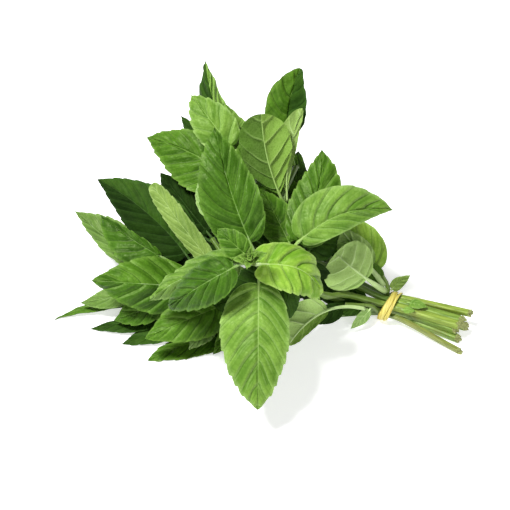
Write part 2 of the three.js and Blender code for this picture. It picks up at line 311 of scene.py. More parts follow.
@dataclass(frozen=True)
class LeafFinish:
    """The colours of one tone of leaf, and how it shines."""

    name: str
    blade: Triple
    bright: Triple
    vein: Triple
    under: Triple
    under_vein: Triple
    # painted shade, laid in the grooves by the side veins and on the walls of the net
    groove: Triple
    roughness: float = 0.4
    gloss: float = 0.22
    glow: float = 0.16  # share of light that comes through the blade
    sheen: Triple = (0.85, 1, 0.5)  # the shine's tint

    MIDRIB = 0.045  # its half width, on the way out to the margin
    UPPER_VEIN = 0.08  # a side vein's half width, on the way to halfway between two
    LOWER_VEIN = 0.2
    BLOTCH = 14  # grain of the broad blotches
    CELL = 2.6  # width of the net's cells on the upper side
    LOWER_CELL = 1.3
    STRETCH = (5, 1.2)  # how fine the streaks are across and along the side veins

    def _field(self, paint: Paint) -> tuple[Socket, Socket, Socket]:
        """Where a place lies among the side veins.

        Args:
            paint: The material.

        Returns:
            The distance from the nearest side vein, 1 halfway between two, the share of the way from one
            vein to the next, and the share of the way out to the margin.
        """
        passed, across = paint.field()
        turned = paint.math("FRACT", paint.plus(passed, 0.5))
        beside = paint.times(paint.math("ABSOLUTE", paint.math("SUBTRACT", turned, 0.5)), 2)
        return beside, paint.math("FRACT", passed), paint.math("ABSOLUTE", across)

    def _veins(self, paint: Paint, beside: object, outward: object, width: float) -> Socket:
        """1 on the side veins and the midrib, and 0 away from them."""
        side = paint.times(paint.ramp(beside, 0, width, 1, 0), paint.ramp(outward, 0.3, 1, 1, 0.3))
        return paint.math("MAXIMUM", side, paint.ramp(outward, 0, self.MIDRIB, 1, 0))

    def _streaks(self, paint: Paint) -> Socket:
        """Noise drawn out along the side veins.

        Args:
            paint: The material.

        Returns:
            The noise.
        """
        stretched = [paint.times(value, fine) for value, fine in zip(paint.field(), self.STRETCH)]
        vector = paint.node("CombineXYZ", dict(enumerate(stretched))).outputs[0]
        return paint.node("TexNoise", {"Vector": vector, "Scale": 1, "Detail": 2}).outputs[0]

    def _shader(
        self, paint: Paint, colour: object, rough: object, normal: object, through: object
    ) -> Material:
        """A waxy surface that lets a little light through.

        Args:
            paint: The material.
            colour: The surface's colour.
            rough: Its roughness.
            normal: Its bent normals.
            through: The colour of the light that comes through.

        Returns:
            The finished material.
        """
        sockets = {"Base Color": colour, "Roughness": rough, "Normal": normal}
        sockets |= {"Specular IOR Level": self.gloss, "Specular Tint": (*self.sheen, 1)}
        skin = paint.node("BsdfPrincipled", sockets).outputs[0]
        lit = paint.node("BsdfTranslucent", {"Color": through, "Normal": normal}).outputs[0]
        return paint.finish(paint.node("MixShader", {0: self.glow, 1: skin, 2: lit}).outputs[0])

    def upper(self) -> Material:
        """The upper side: deep green, with fine lighter veins, a net of cells, painted highlights on its
        swells and painted shade in its grooves.

        Returns:
            The material.
        """
        paint = Paint(self.name + "_upper")
        beside, between, outward = self._field(paint)
        fine, net, streaks = paint.noise(0.9, 3), paint.cells(self.CELL), self._streaks(paint)
        crest_highlight = paint.times(paint.ramp(between, 0.35, 0.86), paint.ramp(between, 1, 0.95))
        colour = paint.coats(
            self.blade,
            (paint.ramp(paint.noise(self.BLOTCH), 0.35, 0.68), self.bright),
            # random lighter streaks along the side veins, and darker ones of painted shade
            (paint.ramp(streaks, 0.5, 0.7, 0, 0.3), self.vein),
            (paint.ramp(streaks, 0.5, 0.3, 0, 0.4), self.groove),
            (paint.times(crest_highlight, 0.6), self.bright),  # a painted highlight on the top of each swell
            (paint.ramp(between, 0.78, 0.92, 0, 0.28), self.vein),  # a painted highlight on its steep side
            (paint.ramp(between, 0.01, 0.11, 0.62, 0), self.groove),  # painted shade in the groove behind a side vein
            (paint.ramp(outward, 0.86, 1, 0, 0.45), self.vein),  # the margin
            # painted shade on the walls of the net of cells
            (paint.ramp(net, 0, 0.12, 0.24, 0), self.groove),
            (paint.times(self._veins(paint, beside, outward, self.UPPER_VEIN), 0.3), self.vein),
        )
        rough = paint.ramp(fine, 0.3, 0.7, self.roughness - 0.05, self.roughness + 0.1)
        relief = paint.plus(paint.ramp(net, 0, 0.3, 0, 0.6), paint.math("MULTIPLY_ADD", streaks, 2.5, fine))
        through = paint.mix(0.5, colour, self.bright)
        return self._shader(paint, colour, rough, paint.bump(relief, 0.2, 0.5), through)

    def lower(self) -> Material:
        """The underside: pale and dull, with raised light veins.

        Returns:
            The material.
        """
        paint = Paint(self.name + "_lower")
        beside, _, outward = self._field(paint)
        fine, net = paint.noise(0.7, 3), paint.cells(self.LOWER_CELL)
        veins = self._veins(paint, beside, outward, self.LOWER_VEIN)
        colour = paint.coats(
            self.under,
            (paint.ramp(paint.noise(12), 0.35, 0.7, 0, 0.35), self.bright),
            (paint.ramp(net, 0, 0.2, 0.14, 0), self.under_vein),
            (paint.times(veins, 0.85), self.under_vein),
        )
        relief = paint.plus(paint.times(veins, 2), paint.ramp(net, 0, 0.3, 1, 0))
        relief = paint.plus(relief, paint.times(fine, 0.5))
        return self._shader(paint, colour, 0.62, paint.bump(relief, 0.14, 0.7), colour)

    def rib(self) -> Material:
        """The stalk and the midrib: light, smooth and a little translucent.

        Returns:
            The material.
        """
        paint = Paint(self.name + "_rib")
        colour = paint.mix(paint.ramp(paint.noise(3), 0.3, 0.7), self.vein, self.under_vein)
        return self._shader(paint, colour, 0.45, paint.bump(paint.noise(0.5), 0.05, 0.5), colour)

    def materials(self) -> list[Material]:
        """Upper side, underside and rib, in the order of a leaf's face numbers."""
        return [self.upper(), self.lower(), self.rib()]


class Tone(Enum):
    """The tones that the bunch's leaves come in; the two darkest are painted shade for leaves deep in the
    bunch.
    """

    BRIGHT = LeafFinish(
        "bright_leaf", (0.155, 0.325, 0.024), (0.31, 0.52, 0.06), (0.44, 0.62, 0.17),
        (0.3, 0.46, 0.17), (0.5, 0.64, 0.32), (0.07, 0.19, 0.008),
    )
    FRESH = LeafFinish(
        "fresh_leaf", (0.096, 0.212, 0.021), (0.194, 0.35, 0.05), (0.33, 0.5, 0.15),
        (0.17, 0.3, 0.045), (0.31, 0.46, 0.12), (0.04, 0.12, 0.006),
    )
    GREEN = LeafFinish(
        "green_leaf", (0.039, 0.112, 0.006), (0.084, 0.205, 0.013), (0.19, 0.34, 0.055),
        (0.058, 0.12, 0.015), (0.2, 0.33, 0.08), (0.016, 0.055, 0.003),
    )
    RICH = LeafFinish(
        "rich_leaf", (0.024, 0.077, 0.004), (0.054, 0.146, 0.009), (0.16, 0.31, 0.045),
        (0.13, 0.22, 0.07), (0.3, 0.42, 0.18), (0.012, 0.04, 0.003),
    )
    # near-black green: painted shade for leaves deep in the bunch, darker than real mint
    NIGHT = LeafFinish(
        "darkest_shade_leaf", (0.0075, 0.023, 0.003), (0.016, 0.044, 0.005), (0.025, 0.065, 0.012),
        (0.03, 0.065, 0.012), (0.07, 0.13, 0.035), (0.004, 0.013, 0.002), roughness=0.6, gloss=0.06,
    )
    # dark green, darkened further as painted shade for leaves in the bunch's shadow
    DEEP = LeafFinish(
        "deep_leaf", (0.017, 0.05, 0.005), (0.037, 0.094, 0.009), (0.05, 0.13, 0.02),
        (0.04, 0.09, 0.016), (0.11, 0.2, 0.05), (0.009, 0.03, 0.004), roughness=0.55, gloss=0.1,
    )
    GREY = LeafFinish(
        "grey_leaf", (0.09, 0.17, 0.028), (0.15, 0.27, 0.05), (0.26, 0.4, 0.12),
        (0.2, 0.31, 0.12), (0.4, 0.53, 0.28), (0.05, 0.11, 0.025),
    )
    SOFT = LeafFinish(
        "soft_leaf", (0.16, 0.265, 0.05), (0.25, 0.375, 0.08), (0.36, 0.5, 0.17),
        (0.25, 0.39, 0.09), (0.4, 0.56, 0.2), (0.09, 0.17, 0.03),
    )
    PALE = LeafFinish(
        "pale_leaf", (0.19, 0.34, 0.08), (0.29, 0.46, 0.13), (0.48, 0.64, 0.28),
        (0.37, 0.55, 0.16), (0.56, 0.74, 0.32), (0.1, 0.2, 0.04),
    )


@dataclass(frozen=True)
class StemFinish:
    """The skin of the stems and the flesh of their cuts."""

    name: str
    skin: Triple
    light: Triple
    worn: Triple = (0.2, 0.2, 0.05)
    leafward: Triple = (0.08, 0.155, 0.02)  # above the band
    flesh: Triple = (0.35, 0.42, 0.14)

    BAND_RINGS = (15, 26)  # the rings by the band, between which the skin turns greener

    def outside(self) -> Material:
        """Green skin with fine streaks along the stem, greener from the band on.

        Returns:
            The material.
        """
        paint = Paint(self.name + "_skin")
        along, around = paint.field()
        stretched = paint.node("CombineXYZ", {0: paint.times(along, 0.012), 1: around}).outputs[0]
        streaks = paint.node("TexNoise", {"Vector": stretched, "Scale": 22, "Detail": 3}).outputs[0]
        colour = paint.coats(
            self.skin,
            (paint.ramp(streaks, 0.35, 0.65), self.light),
            (paint.ramp(paint.noise(7), 0.52, 0.72, 0, 0.4), self.worn),
            (paint.ramp(along, *self.BAND_RINGS, 0, 0.75), self.leafward),
        )
        rough = paint.ramp(paint.noise(1.5), 0.3, 0.7, 0.36, 0.52)
        return paint.plain(colour, rough, paint.bump(paint.plus(streaks, paint.noise(0.8)), 0.1, 0.6))

    def inside(self) -> Material:
        """The cut's pale, fibrous flesh.

        Returns:
            The material.
        """
        paint = Paint(self.name + "_flesh")
        colour = paint.mix(paint.ramp(paint.noise(0.6), 0.35, 0.65), self.worn, self.flesh)
        return paint.plain(colour, 0.7, paint.bump(paint.noise(0.4), 0.2))

    def materials(self) -> list[Material]:
        """Skin and flesh, in the order of a stem's face numbers."""
        return [self.outside(), self.inside()]


class StemTone(Enum):
    """The tones that the stems come in."""

    YELLOW = StemFinish("yellow_stem", (0.14, 0.22, 0.018), (0.29, 0.39, 0.058))
    GREEN = StemFinish("green_stem", (0.095, 0.175, 0.017), (0.22, 0.34, 0.05))
    BROWN = StemFinish("brown_stem", (0.12, 0.15, 0.025), (0.24, 0.28, 0.06))


@dataclass(frozen=True)
class RubberFinish:
    """Yellow rubber: dull, with fine lighter lines round the band."""

    name: str = "yellow_rubber"
    body: Triple = (0.42, 0.33, 0.04)
    light: Triple = (0.65, 0.57, 0.145)

    LINES = 0.9  # fine lines in a millimetre

    def material(self) -> Material:
        """The band's material.

        Returns:
            The material.
        """
        paint = Paint(self.name)
        along = paint.node("VectorMath", {0: paint.place(), 1: BUNDLE.towards_cut}, operation="DOT_PRODUCT")
        sockets = {"W": along.outputs[1], "Scale": self.LINES / MM, "Detail": 3}
        lines = paint.node("TexNoise", sockets, noise_dimensions="1D").outputs[0]
        colour = paint.mix(paint.ramp(lines, 0.38, 0.62), self.body, self.light)
        relief = paint.plus(lines, paint.times(paint.noise(0.35), 0.4))
        return paint.plain(colour, 0.55, paint.bump(relief, 0.25))


# ---------------------------------------------------------------- leaves


@dataclass
class Leaf:
    """A toothed leaf on its stalk, quilted between the side veins."""

    name: str
    node: int  # its place among the sprig's nodes
    tip: Triple
    width: float
    face: Triple  # the way the upper side looks
    arch: Pair = (3, 3)  # how far the midrib bows towards the face, at a third and two thirds of its length
    sway: float = 0  # how far it bows sideways
    fold: float = 5  # degrees that the halves rise from the midrib
    curl: float = -8  # degrees more by the margin
    petiole: float = 0.08  # the stalk's share of the length
    tone: Tone = Tone.GREEN
    heart: float = 0.1  # how far the blade's shoulders reach back past its base
    taper: float = 1  # how straight it runs to its tip
    shoulder: float = 0.55  # how slowly the blade widens from its base
    stalk: float = 1  # how thick the stalk is for its size
    keel: float = 0.55  # how thick the midrib is
    right_tone: Tone | None = None  # the right half's tone, where it differs: mostly painted light or shade, one half lit and the other in shadow
    halves: Pair = (1, 1)  # how wide the right and the left half are for their size
    lift: Pair = (0, 0)  # degrees more that the right and the left half rise
    quilt: float = 1  # how strongly it swells between the veins
    teeth: float = 1  # how far the teeth stand out
    spare: bool = False  # a leaf deep in the bunch that has no solid of its own, mostly dark to paint the shade in a gap
    young: bool = False  # a tiny new leaf
    base: Triple | None = None  # where it starts, if that isn't at a node

    LEAST_HALF_WIDTH = 0.2
    THICKNESS = 0.32
    FULL_WIDTH = 22  # from this width on, its relief is full grown
    SWEEP = 1.4  # how late the side veins turn towards the tip
    HEART_POWER = 6  # how soon the shoulders' reach back fades towards the tip
    COLUMNS = 0.6  # faces from the midrib to the margin, for each millimetre of width
    MARGIN_POWER = 1.3  # how far the teeth crowd towards the tip
    VEIN_POWER = 1.8  # how far the side veins' starts lag behind their ends
    VEIN_SPREAD = 1.3  # how far the side veins crowd towards the base
    TOOTH_PITCH = 5.2
    TOOTH_HEIGHT = 0.8
    TOOTH_FORWARD = 0.7  # how far a tooth's point leans to the tip
    TOOTH_ROWS = 10  # rows of faces in a tooth
    TOOTH_BACK = 0.8  # share of a tooth that its long back takes
    TOOTH_ARCH = 0.7  # how round the back is
    TOOTH_ROOT = 0.72  # where the teeth start, on the way out to the margin
    TOOTH_SIZES = (0.6, 1.1)  # least and most of a full tooth
    VEIN_PITCH = 7.6
    VEIN_START = 0.3  # how far past a side vein the blade's base lies, in pitches
    VEIN_STAGGER = 0.12  # how much nearer the base the left half's veins lie, in pitches
    VEIN_STRAY = 0.22  # how far they stray, in pitches
    SWELL = 1.15
    CREST = 0.78  # where each swell is highest, between one side vein and the next
    NEAR_POWER = 1.7  # how fast it rises from the vein nearer the base
    FAR_POWER = 2.5  # how fast it falls to the other one
    VALLEY = 0.16  # how far out from the midrib it takes to swell
    CALM = 0.6  # how much of the swelling is lost at the margin
    CALM_FROM = 0.75  # where that starts, on the way out
    WAVE = 0.5  # how far the margin waves up and down
    ROUGH = 0.45  # height of the small dents
    ROUGH_SPAN = 3.5
    BUCKLE = 1.7  # height of the slow bends
    BUCKLE_SPAN = 15
    STALK_RADIUS = 0.8
    STALK_LEAST = 0.45  # share of it that the narrowest leaf's stalk has
    STALK_GROWTH = 45  # millimetres of leaf width for each further whole of it
    RIB_RINGS = 40
    RIB_SIDES = 10
    RIB_START = -0.012  # where the stalk starts, in the stem, as a share of the leaf's length
    RIB_SHARE = 0.98  # how much of the length the stalk and the midrib take
    ROOT = 60  # millimetres that such a share counts for inside the stem
    RIB_TAPER = 0.75  # how much thinner the midrib is at the tip
    PROUD = 0.05  # how far the midrib stands out of the blade's upper side
    RIGHT_MATERIALS = 3  # number of the right half's first material
    RIB_MATERIAL = 2

    def __post_init__(self) -> None:
        """Gives the leaf its own random numbers, the same ones each run."""
        self.random = random.Random(self.name + str(self.width))
        self.drift = Vector(self.random.uniform(0, 100) for _ in range(3))
        self.grown = min(1, self.width / self.FULL_WIDTH)

    def hang(self, base: Vector, tip: Vector) -> None:
        """Settles where the leaf runs.

        Args:
            base: Where the stalk leaves the stem, in millimetres.
            tip: The leaf's tip.
        """
        reach = tip - base
        self.lengthwise = reach.normalized()
        face = Vector(self.face)
        self.up = (face - self.lengthwise * face.dot(self.lengthwise)).normalized()
        side = self.up.cross(self.lengthwise)
        sway = side * self.sway
        bows = [base + reach * (i + 1) / 3 + self.up * bow + sway for i, bow in enumerate(self.arch)]
        self.controls = [base, *bows, tip]
        self.length = reach.length * (1 - self.petiole)
        self.tooth_count = max(5, round(self.length / self.TOOTH_PITCH))
        self.vein_count = max(4, round(self.length / self.VEIN_PITCH))
        self.heights = [self.random.uniform(*self.TOOTH_SIZES) for _ in range(2 * self.tooth_count + 2)]

    def midrib(self, along: float) -> Vector:
        """A point of the midrib, at a share of the leaf's whole length.

        Args:
            along: The share, 0 on the stem and 1 at the tip.

        Returns:
            The point, in millimetres.
        """
        a, b, c, d = self.controls
        rest = 1 - along
        return a * rest**3 + b * (3 * rest**2 * along) + c * (3 * rest * along**2) + d * along**3

    def axes(self, along: float) -> tuple[Vector, Vector, Vector]:
        """The midrib's own directions at a share of the leaf's whole length.

        Args:
            along: The share, 0 on the stem and 1 at the tip.

        Returns:
            Forward, up and sideways.
        """
        a, b, c, d = self.controls
        rest = 1 - along
        forward = ((b - a) * rest**2 + (c - b) * (2 * rest * along) + (d - c) * along**2).normalized()
        up = (self.up - forward * self.up.dot(forward)).normalized()
        return forward, up, up.cross(forward)

    def half_width(self, share: float) -> float:
        """The blade's half width at a share of its own length.

        Args:
            share: The share, 0 at the blade's base and 1 at its tip.

        Returns:
            The half width, in millimetres.
        """
        widest = self.shoulder / (self.shoulder + self.taper)
        bounded = min(max(share, 0), 1)
        rise = (bounded / widest) ** self.shoulder * ((1 - bounded) / (1 - widest)) ** self.taper
        return max(self.LEAST_HALF_WIDTH, self.width / 2 * rise)

    def passed(self, row: float, across: float) -> float:
        """How many side veins lie between the base and a place on a row.

        Args:
            row: The row, from 0 at the base to 1 at the tip.
            across: From -1, the right margin, to 1, the left one.

        Returns:
            The number, with the part of the way to the next one.
        """
        stray = self.VEIN_STRAY * noise.noise(Vector((row * 6, across * 1.4, 0)) + self.drift)
        start = self.VEIN_START + (self.VEIN_STAGGER if across > 0 else 0)
        return max(row, 0) ** self.VEIN_SPREAD * self.vein_count + start + stray

    def tooth(self, row: float, side: int) -> float:
        """How far the margin stands out at the end of a row: a saw that leans forward.

        Args:
            row: The row, from 0 at the base to 1 at the tip.
            side: 1 on the left and -1 on the right.

        Returns:
            The share of a full tooth.
        """
        place = row * self.tooth_count
        number = min(int(place + 1e-6), self.tooth_count)
        share = max(place - number, 0)
        back = self.TOOTH_BACK
        rise = (share / back) ** self.TOOTH_ARCH if share < back else (1 - share) / (1 - back)
        faded = eased(0, 0.1, row) * eased(0, 0.3, 1 - row)
        return max(rise, 0) * faded * self.heights[2 * number + (side > 0)]

    def surface(self, row: float, across: float, sunk: float = 0) -> Vector:
        """A point of the upper side, or of the underside.

        Args:
            row: The row, from 0 at the base to 1 at the tip. The rows run as the side veins do.
            across: From -1, the right margin, to 1, the left one.
            sunk: How far below the upper side.

        Returns:
            The point, in millimetres.
        """
        side = 1 if across > 0 else -1
        outward = abs(across)
        row = min(max(row, 0), 1)
        start = row**self.VEIN_POWER  # share of the blade's length where the row leaves the midrib
        end = 1 - (1 - row) ** self.MARGIN_POWER  # and where it meets the margin
        half = self.half_width(end)
        back = self.heart * 2 * half / self.width * (1 - row) ** self.HEART_POWER
        share = start + (end - back - start) * outward**self.SWEEP
        stands_out = self.teeth * self.tooth(row, side) * eased(self.TOOTH_ROOT, 1, outward) * self.grown
        share += self.TOOTH_FORWARD * stands_out / self.length
        out = outward * half * self.halves[side > 0] + self.TOOTH_HEIGHT * stands_out
        bend = min(1, out / self.half_width(share))
        turned = math.radians(self.fold + self.lift[side > 0] + self.curl * bend / 2)
        along = min(1, self.petiole + (1 - self.petiole) * share)
        _, up, sideways = self.axes(along)
        normal = up * math.cos(turned) - sideways * (side * math.sin(turned))
        place = self.midrib(along) + sideways * (side * out * math.cos(turned))
        place += up * (out * math.sin(turned))
        return place + normal * (self.relief(row, across, place) - sunk)

    def relief(self, row: float, across: float, place: Vector) -> float:
        """How far the upper side stands off the plain blade.

        Args:
            row: The row, from 0 at the base to 1 at the tip.
            across: From -1, the right margin, to 1, the left one.
            place: The plain blade's point there.

        Returns:
            The height, in millimetres.
        """
        outward = abs(across)
        passed = self.passed(row, across)
        between = passed % 1
        if between < self.CREST:
            pillow = 1 - (1 - between / self.CREST) ** self.NEAR_POWER
        else:
            pillow = 1 - (1 - (1 - between) / (1 - self.CREST)) ** self.FAR_POWER
        swell = self.SWELL * self.quilt * self.grown * pillow
        swell *= eased(0, self.VALLEY, outward) * (1 - self.CALM * eased(self.CALM_FROM, 1, outward))
        swell *= eased(0, 0.12, row) * eased(0, 0.1, 1 - row)
        waved = self.WAVE * outward**3 * math.sin(math.tau * (passed / 2 + self.drift.x))
        rough = self.ROUGH * noise.noise(place / self.ROUGH_SPAN + self.drift) * eased(0.05, 0.3, outward)
        return swell + (waved + rough) * self.grown + self.buckle(row, place)

    def buckle(self, row: float, place: Vector) -> float:
        """The blade's slow bends, in millimetres."""
        bend = noise.noise(place / self.BUCKLE_SPAN + self.drift)
        return bend * self.BUCKLE * self.grown * eased(0, 0.25, row)

    def blade(self, coarse: float = 1) -> Mesh:
        """The blade: a grid whose rows follow the side veins, given its thickness.

        Args:
            coarse: How much larger its faces are than a full leaf's.

        Returns:
            The closed mesh, its upper side with number 0 and the rest with number 1, and these plus 3 on
            a right half that is painted in another tone for its light or shade.
        """
        bm = bmesh.new()
        layer = bm.loops.layers.uv.new(FIELD)
        rows = round(self.tooth_count * self.TOOTH_ROWS / coarse)
        columns = 2 * max(5, round(self.width * self.COLUMNS / coarse) + 3)
        bmesh.ops.create_grid(bm, x_segments=rows, y_segments=columns, size=0.5)
        upper = bm.faces[:]
        bmesh.ops.solidify(bm, geom=upper, thickness=1)
        shown = set(upper)
        level = upper[0].verts[0].co.z
        for face in bm.faces:
            side = 1 if face.calc_center_median().y > 0 else -1
            first = self.RIGHT_MATERIALS if self.right_tone and side < 0 else 0
            face.material_index = first + (face not in shown)
            for loop in face.loops:
                spot = loop.vert.co
                across = side * max(abs(2 * spot.y), 1e-4)
                loop[layer].uv = (self.passed(spot.x + 0.5, across), across)
            if len({abs(vertex.co.z - level) > 0.5 for vertex in face.verts}) > 1:
                for edge in face.edges:
                    edge.smooth = False
        for vertex in bm.verts:
            sunk = self.THICKNESS if abs(vertex.co.z - level) > 0.5 else 0
            vertex.co = self.surface(vertex.co.x + 0.5, 2 * vertex.co.y, sunk) * MM
            vertex.co.z = max(vertex.co.z, (self.THICKNESS - sunk) * MM)
        return bm

    def rib(self) -> Mesh:
        """The stalk, running on as the midrib under the blade and thinning out at the tip.

        Returns:
            The closed mesh.
        """
        thick = self.STALK_RADIUS * self.stalk * min(1, self.STALK_LEAST + self.width / self.STALK_GROWTH)
        bm, _ = new_tube(self.RIB_RINGS, self.RIB_SIDES)
        for vertex in bm.verts:
            x, y, share = vertex.co
            along = self.RIB_START + self.RIB_SHARE * share
            inner = max(along, 0)
            row = max(0, (inner - self.petiole) / (1 - self.petiole)) ** (1 / self.VEIN_POWER)
            forward, up, sideways = self.axes(inner)
            on_blade = eased(self.petiole * 0.6, self.petiole + 0.1, inner)
            radius = thick * (1 - (1 - self.keel / self.stalk) * on_blade) * (1 - self.RIB_TAPER * inner)
            centre = self.midrib(inner) + forward * (min(along, 0) * self.ROOT)
            lift = (self.PROUD - radius + self.buckle(row, centre)) * on_blade
            vertex.co = (centre + sideways * (x * radius) + up * (y * radius + lift)) * MM
            vertex.co.z = max(vertex.co.z, 0)
        for face in bm.faces:
            face.material_index = self.RIB_MATERIAL
        return bm


# ---------------------------------------------------------------- sprigs


@dataclass
class Bundle:
    """Where the stems are tied."""

    at: Triple = (64, 8.2, 0)  # on the table, under the middle of the band
    towards_cut: Triple = (0.96, -0.28, 0)
    reach: Pair = (3, -4)  # the stems run straight from here to here, along the bundle

    def __post_init__(self) -> None:
        """Works out the bundle's directions."""
        self.along = Vector(self.towards_cut).normalized()
        self.across = UP.cross(self.along)

    def point(self, along: float, across: float, height: float) -> Vector:
        """A point of the bundle, in the bunch's own frame.

        Args:
            along: From the band towards the cuts.
            across: To the left of someone who looks that way.
            height: Above the table.

        Returns:
            The point, in millimetres.
        """
        flat = Vector(self.at) + self.along * along + self.across * across
        return Vector((flat.x, flat.y, height)) - ORIGIN


BUNDLE = Bundle()


@dataclass
class Sprig:
    """One square stem with its leaves."""

    name: str
    end: Triple  # the cut end, as a point of the bundle
    slot: Pair  # across the bundle and above the table, where it passes the band
    nodes: list[Triple]
    leaves: list[Leaf]
    thinness: float = 1
    bud: float = 0  # size of the open bud at its top
    tone: StemTone = StemTone.GREEN

    HALF_WIDTH = 1.65  # at the cut, on a stem of full thickness
    TOP_SHARE = 0.62  # thickness at the top, as a share of that at the cut
    GAP = 0.5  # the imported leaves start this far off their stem
    SIDES = 24
    RINGS = 90
    SQUARE = 0.13  # how far the corners stand out
    KNOT = 0.22  # how far the nodes stand out
    KNOT_SHARE = 0.014  # half a node's length, as a share of the stem
    BUTT = 0.2  # how much thicker the stem is by the cut
    UNEVEN = 0.05
    CUT_SHARE = 1 / 45  # the share of the stem that the cut's slant takes
    CUT_FACES = Vector((0, -0.6, 0.6))  # the cuts are slanted to this side
    CUT_SLANT = 1.4
    CUT_RAGGED = 1.6
    CUT_REACH = 1.2  # how far the cut stands out on the whole
    CUT_RIM = 0.3
    CUT_SUNK = 0.25
    BUD_PAIRS = 5
    BUD_LEAF = 7.6  # length of the bud's outermost leaves
    BUD_STEP = 1.1  # how much shorter each next pair is
    BUD_LEAN = 62  # degrees that the outermost pair leans out
    BUD_CLOSE = 13  # degrees less for each next pair
    BUD_TURN = 20  # degrees that the pairs stand turned from the level
    BUD_STRAY = 20  # degrees that a leaf of the bud may stray from its place
    BUD_SIZES = (0.75, 1.15)  # least and most of a leaf's full size
    BUD_RISE = 0.7  # how much higher each next pair starts
    BUD_WIDTH = 0.58  # a bud leaf's width, as a share of its length

    def __post_init__(self) -> None:
        """Lays out the stem's line."""
        tied = [BUNDLE.point(along, *self.slot) for along in BUNDLE.reach]
        climbing = [Vector(node) - ORIGIN for node in self.nodes]
        self.path = Path([BUNDLE.point(*self.end), *tied, *climbing])
        self.half_width = self.HALF_WIDTH * self.thinness

    def attachment(self, leaf: Leaf, tip: Vector) -> Vector:
        """Where a leaf leaves the stem: on the side that looks to the leaf's tip.

        Args:
            leaf: The leaf.
            tip: Its tip.

        Returns:
            The point, in millimetres.
        """
        if leaf.base:
            return Vector(leaf.base) - ORIGIN
        node = Vector(self.nodes[leaf.node]) - ORIGIN
        along = self.path.tangent(self.path.nearest(node))
        outward = tip - node
        outward = (outward - along * outward.dot(along)).normalized()
        return node + outward * (self.half_width + self.GAP)

    def build_leaf(self, leaf: Leaf, materials: list[Material]) -> Piece:
        """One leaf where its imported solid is.

        Args:
            leaf: The leaf.
            materials: Upper side, underside and rib.

        Returns:
            The finished object.
        """
        tip = Vector(leaf.tip) - ORIGIN
        leaf.hang(self.attachment(leaf, tip), tip)
        return finished(f"{self.name}_{leaf.name}_leaf", [leaf.blade(), leaf.rib()], materials)

    def cut(self, outward: Vector) -> float:
        """How far the cut end stands out on one side of the stem, in millimetres."""
        ragged = self.CUT_RAGGED * noise.noise(outward * 2.2 + Vector(self.end))
        return self.CUT_REACH - self.CUT_SLANT * outward.dot(self.CUT_FACES) + ragged

    def build_stem(self, materials: list[Material]) -> Piece:
        """The stem: square with hollow flats, swollen at its nodes and thinner towards its top.

        Args:
            materials: Skin and flesh.

        Returns:
            The finished object.
        """
        bm, (cut, _) = new_tube(self.RINGS, self.SIDES)
        layer = bm.loops.layers.uv.new(FIELD)
        for face in bm.faces:
            last_half = face.calc_center_median().y < 0
            for loop in face.loops:
                spot = loop.vert.co
                turn = math.atan2(spot.y, spot.x) / math.tau % 1
                loop[layer].uv = (spot.z * self.RINGS, turn if turn < 0.99 or last_half else 0)
        knots = [self.path.nearest(Vector(node) - ORIGIN) for node in self.nodes[1:]]
        frames = self.frames()
        for vertex in bm.verts:
            x, y, share = vertex.co
            centre, side, up = frames[round(share * self.RINGS)]
            angle = math.atan2(y, x)
            if share < self.CUT_SHARE:
                reach = self.cut(side * x + up * y) * (1 - share / self.CUT_SHARE)
                centre = centre - self.path.tangent(share) * reach
            square = 1 + self.SQUARE * math.cos(4 * angle - math.pi)
            knotted = sum(math.exp(-(((share - knot) / self.KNOT_SHARE) ** 2)) for knot in knots)
            radius = self.half_width * (1 - (1 - self.TOP_SHARE) * share)
            radius *= square * (1 + self.KNOT * knotted)
            uneven = self.UNEVEN * noise.noise(centre / 6 + Vector((x, y, 0)))
            radius *= 1 + uneven + self.BUTT * eased(0.3, 0.05, share)
            vertex.co = (centre + side * (math.cos(angle) * radius) + up * (math.sin(angle) * radius)) * MM
            vertex.co.z = max(vertex.co.z, 0)
        for edge in cut.edges:
            edge.smooth = False
        rim, sunk = self.CUT_RIM * MM, self.CUT_SUNK * MM
        flesh = bmesh.ops.inset_individual(bm, faces=[cut], thickness=rim, depth=-sunk)["faces"]
        flesh += bmesh.ops.poke(bm, faces=[cut], offset=rim)["faces"]
        for face in flesh:
            face.material_index = 1
        return finished(f"{self.name}_stalk", [bm], materials)

    def frames(self) -> list[tuple[Vector, Vector, Vector]]:
        """The stem's rings, turned as little from one to the next as can be.

        Returns:
            The centre, the first direction and the second one, for each ring from the cut on.
        """
        found = []
        side = UP.cross(self.path.tangent(0)).normalized()
        for ring in range(self.RINGS + 1):
            share = ring / self.RINGS
            forward = self.path.tangent(share)
            side = (side - forward * side.dot(forward)).normalized()
            found.append((self.path.at(share), side, forward.cross(side)))
        return found

    def build_bud(self, materials: list[Material]) -> Piece:
        """The open bud: crossed pairs of tiny folded leaves round the stem's tip.

        Args:
            materials: Upper side, underside and rib.

        Returns:
            The finished object.
        """
        top, forward = self.path.at(1), self.path.tangent(1)
        side = UP.cross(forward).normalized()
        chance = random.Random(7)
        islands = []
        for number in range(2 * self.BUD_PAIRS):
            pair, half = divmod(number, 2)
            size = (self.BUD_LEAF - self.BUD_STEP * pair) * self.bud * chance.uniform(*self.BUD_SIZES)
            lean = math.radians(self.BUD_LEAN - self.BUD_CLOSE * pair + chance.uniform(-10, 10))
            stray = chance.uniform(-self.BUD_STRAY, self.BUD_STRAY)
            turn = math.radians(90 * pair + 180 * half + self.BUD_TURN + stray)
            outward = Matrix.Rotation(turn, 3, forward) @ side
            reach = outward * math.sin(lean) + forward * math.cos(lean)
            base = top + forward * (pair * self.BUD_RISE - 1) * self.bud
            tip = base + reach * size
            face = tuple(forward - outward * 0.6)
            leaf = Leaf(f"bud{pair}{half}", 0, tuple(tip), size * self.BUD_WIDTH, face,
                        arch=(0.8, 0.9), fold=36, curl=-12, petiole=0.04)
            leaf.hang(base, tip)
            islands += [leaf.blade(coarse=0.8), leaf.rib()]
        return finished(f"{self.name}_open_bud", islands, materials)


